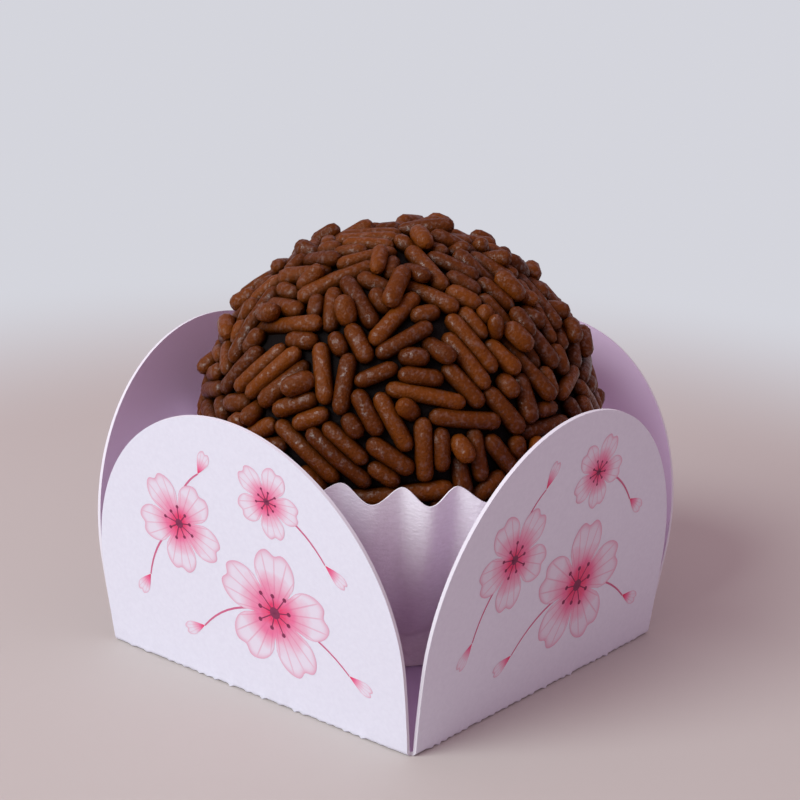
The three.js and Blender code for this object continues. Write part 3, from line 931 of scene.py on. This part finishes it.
# Painted shade: the brown darkens towards the middle of the ball, deepest in the gaps between sprinkles and
# on their sunk lower sides
painted_gap_shade = sprinkle_brown.remap(height, lying + PAINTED_SHADE_FULL * SPRINKLE_RADIUS,
                                      lying + PAINTED_SHADE_GONE * SPRINKLE_RADIUS, 0.05, 1.0)
sprinkle_brown.paint(sprinkle_brown.mix(1.0, unshaded_brown, painted_gap_shade, "MULTIPLY"))
glaze = sprinkle_brown.remap(sprinkle_brown.grain(0.35 * MM, 4), 0.50, 0.70, 0.10, 0.85)
# The glaze is turned down where the shade is painted, so the shaded gaps don't shine
sprinkle_brown.put(glaze * painted_gap_shade, sprinkle_brown.shader.inputs["Specular IOR Level"])
sprinkle_brown.relief(sprinkle_brown.grain(0.45 * MM, 3), 0.09 * MM, 0.8)
sprinkle_brown.relief(sprinkle_brown.grain(0.16 * MM, 4), 0.075 * MM, 0.9)

# %% Turn the lines into sprinkles
rods = GeometryTree("roll sprinkles")
rod_radius = rods.input("Radius", "Float", SPRINKLE_RADIUS)
corners = rods.input("Sides", "Int", 10)
lumps = rods.input("Lump height", "Float", 0.07 * MM)
lump_size = rods.input("Lump size", "Float", 1.1 * MM)
rod_seed = rods.input("Seed", "Float", 5.0)

lines = rods.value("GeometryNodeMeshToCurve", "Curve", {"Mesh": rods.given})
along = rods.value("GeometryNodeSplineParameter", "Length")
whole = rods.value("GeometryNodeSplineLength", "Length")
to_end = rods.math("MINIMUM", along, whole - along) / rod_radius + END_STEPS[0]
from_round = 1.0 - rods.math("MINIMUM", to_end, 1.0)
rounded = rods.math("SQRT", 1.0 - from_round * from_round)
own_girth = rods.value("GeometryNodeInputNamedAttribute", "Attribute", {"Name": "girth"}, data_type="FLOAT")
section = rods.value("GeometryNodeCurvePrimitiveCircle", "Curve", {"Resolution": corners, "Radius": 1.0})
tubes = rods.value("GeometryNodeCurveToMesh", "Mesh", {
    "Curve": lines, "Profile Curve": section, "Scale": rounded * rod_radius * own_girth, "Fill Caps": True})
lump = rods.value("ShaderNodeTexNoise", "Fac", {
    "Vector": rods.value("GeometryNodeInputPosition", "Position"), "W": rod_seed, "Detail": 1.0,
    "Scale": rods.math("DIVIDE", 1.0, lump_size)}, noise_dimensions="4D")
push = (lump - 0.5) * 2.0 * lumps
normal = rods.value("GeometryNodeInputNormal", "Normal")
outwards = rods.value("ShaderNodeVectorMath", "Vector", {0: normal, "Scale": push}, operation="SCALE")
lumpy = rods.value("GeometryNodeSetPosition", "Geometry", {"Geometry": tubes, "Offset": outwards})
rods.finish(lumpy, sprinkle_brown.material)
rods.apply_to(sprinkles)
freeze(sprinkles)
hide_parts("coated_sweet")
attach(sprinkles, "root")

# %% [markdown]
# Between the sprinkles the fudge shows: sticky, finely granular and nearly black, a colour that is
# partly the fudge's own dark brown and partly painted shade for the deep gaps. It is a ball with its
# surface pushed in and out by a slow wave, so that the dips between sprinkles vary.

# %% The fudge
FUDGE_DEPTH = 0.45      # how deep it lies under the sprinkles' axes, in sprinkle radii
# Nearly black: the fudge's own dark colour, darkened further as painted shade for the gaps
fudge_and_gap_shade = Finish("fudge_dark", (0.006, 0.004, 0.004), 0.7, specular=0.05)
fudge_and_gap_shade.relief(fudge_and_gap_shade.grain(0.3 * MM, 5), 0.15 * MM, 1.0)
bpy.ops.mesh.primitive_ico_sphere_add(subdivisions=6, radius=1, location=(0, 0, 0))
fudge = bpy.context.object
fudge.name = "chocolate_fudge"
fudge_radius = lying - FUDGE_DEPTH * SPRINKLE_RADIUS
ball = np.zeros(len(fudge.data.vertices) * 3)
fudge.data.vertices.foreach_get("co", ball)
ball = ball.reshape(-1, 3)
first_wave = np.sin(ball @ np.array([9.0, 5.0, 3.0]))
second_wave = np.sin(ball @ np.array([-4.0, 8.0, 6.0]))
lumpiness = first_wave * second_wave * 0.12 * MM
ball = ball * (fudge_radius + lumpiness)[:, None] * ball_squash + sweet_centre
fudge.data.vertices.foreach_set("co", ball.ravel())
fudge.data.materials.append(fudge_and_gap_shade.material)
freeze(fudge)
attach(fudge, "root")

# %% [markdown]
# The cup stands on a pale, plain floor. Near the cup it has a warm pale tone and takes the cup's
# shadow. Further off it turns into a pale cool ground that only the camera and reflections see as
# bright, through Light Path, so that it throws no extra light on the cup.

# %% Floor
FLOOR_REACH = 700 * MM
NEAR_GROUND, FAR_GROUND = 55 * MM, 105 * MM
ground = Finish("stage_pale_ground", (0.52, 0.475, 0.45), 0.6, specular=0.2)
from_cup = ground.vector_math("LENGTH", ground.place, output="Value")
far_off = ground.remap(from_cup, NEAR_GROUND, FAR_GROUND, interpolation_type="SMOOTHSTEP")
light_path = ground.add("ShaderNodeLightPath").outputs
by_camera, by_gloss, by_glass = (Value(ground, light_path[f"Is {kind} Ray"])
                                 for kind in ("Camera", "Glossy", "Transmission"))
seen = ground.math("MAXIMUM", by_camera, ground.math("MAXIMUM", by_gloss, by_glass))
near = Value(ground, ground.shader.outputs["BSDF"])
pale = ground.value("ShaderNodeEmission", "Emission", {"Color": (0.66, 0.665, 0.72, 1), "Strength": 1.0})
both = ground.value("ShaderNodeMixShader", "Shader", {"Fac": seen * far_off, 1: near, 2: pale})
ground.put(both, ground.tree.nodes["Material Output"].inputs["Surface"])
floor = mesh_object("stage_floor", [(-1, -1, 0), (1, -1, 0), (1, 1, 0), (-1, 1, 0)], [(0, 1, 2, 3)])
floor.data.transform(Matrix.Scale(FLOOR_REACH, 4))
floor.data.materials.append(ground.material)

# %% [markdown]
# The light is soft daylight from a large window to the left of the camera, low enough to shine on
# the left petal and rake across the right one. The world adds a weaker, even light, so that the
# shaded faces keep their colour.

# %% Lamps
SKY_LOW, SKY_HIGH = 0.38, 0.66      # at the horizon and overhead
WINDOW_AZIMUTH, WINDOW_ELEVATION = 106, 38
WINDOW_DISTANCE, WINDOW_SIZE, WINDOW_WATTS = 0.6, 0.42, 3.3
scene = bpy.context.scene
world = bpy.data.worlds.new("room light")
scene.world = world
world.use_nodes = True
sky = Builder(world.node_tree)
background = world.node_tree.nodes["Background"]
upwards = sky.split(sky.value("ShaderNodeTexCoord", "Generated"))[2]
sky.put((1.0, 0.75, 0.87, 1), background.inputs["Color"])
sky.put(sky.remap(upwards, 0.0, 1.0, SKY_LOW, SKY_HIGH), background.inputs["Strength"])


def away_from_cup(azimuth, elevation):
    """The direction from the cup. Azimuth 0 is in front, along -Y, and 90 along -X."""
    a, e = math.radians(azimuth), math.radians(elevation)
    return np.array([-math.sin(a) * math.cos(e), -math.cos(a) * math.cos(e), math.sin(e)])


away = away_from_cup(WINDOW_AZIMUTH, WINDOW_ELEVATION)
lamp = bpy.data.lights.new("window", "AREA")
lamp.shape, lamp.size, lamp.energy = "DISK", WINDOW_SIZE, WINDOW_WATTS
lamp.color = (0.90, 1.0, 0.98)
window = bpy.data.objects.new("window", lamp)
scene.collection.objects.link(window)
window.location = np.array([0, 0, 15 * MM]) + away * WINDOW_DISTANCE
window.rotation_euler = Vector(-away).to_track_quat("-Z", "Y").to_euler()
print("lamps:", window.name)

# %% [markdown]
# The camera stands as it did for the picture: a long lens, a little above the cup, turned so that
# the open corner between two petals points nearly at it. Its numbers come from fitting the
# outline of the cup, and the slight roll is that of a hand-held picture.

# %% Camera
CAMERA_AZIMUTH, CAMERA_ELEVATION, CAMERA_ROLL = 51.16, 18.51, 1.86
CAMERA_DISTANCE = 184.3 * MM
CAMERA_AIM = np.array([0.39, -0.49, 19.47]) * MM
LENS = 109.25
away = away_from_cup(CAMERA_AZIMUTH, CAMERA_ELEVATION)
camera_data = bpy.data.cameras.new("camera")
camera_data.lens, camera_data.sensor_width = LENS, 36
camera_data.clip_start, camera_data.clip_end = 0.01, 10
camera = bpy.data.objects.new("camera", camera_data)
scene.collection.objects.link(camera)
scene.camera = camera
camera.location = CAMERA_AIM + away * CAMERA_DISTANCE
camera.rotation_mode = "QUATERNION"
looking = Vector(-away).to_track_quat("-Z", "Y")
roll = Quaternion((0, 0, 1), math.radians(CAMERA_ROLL))
camera.rotation_quaternion = looking @ roll
scene.view_settings.view_transform = "Standard"
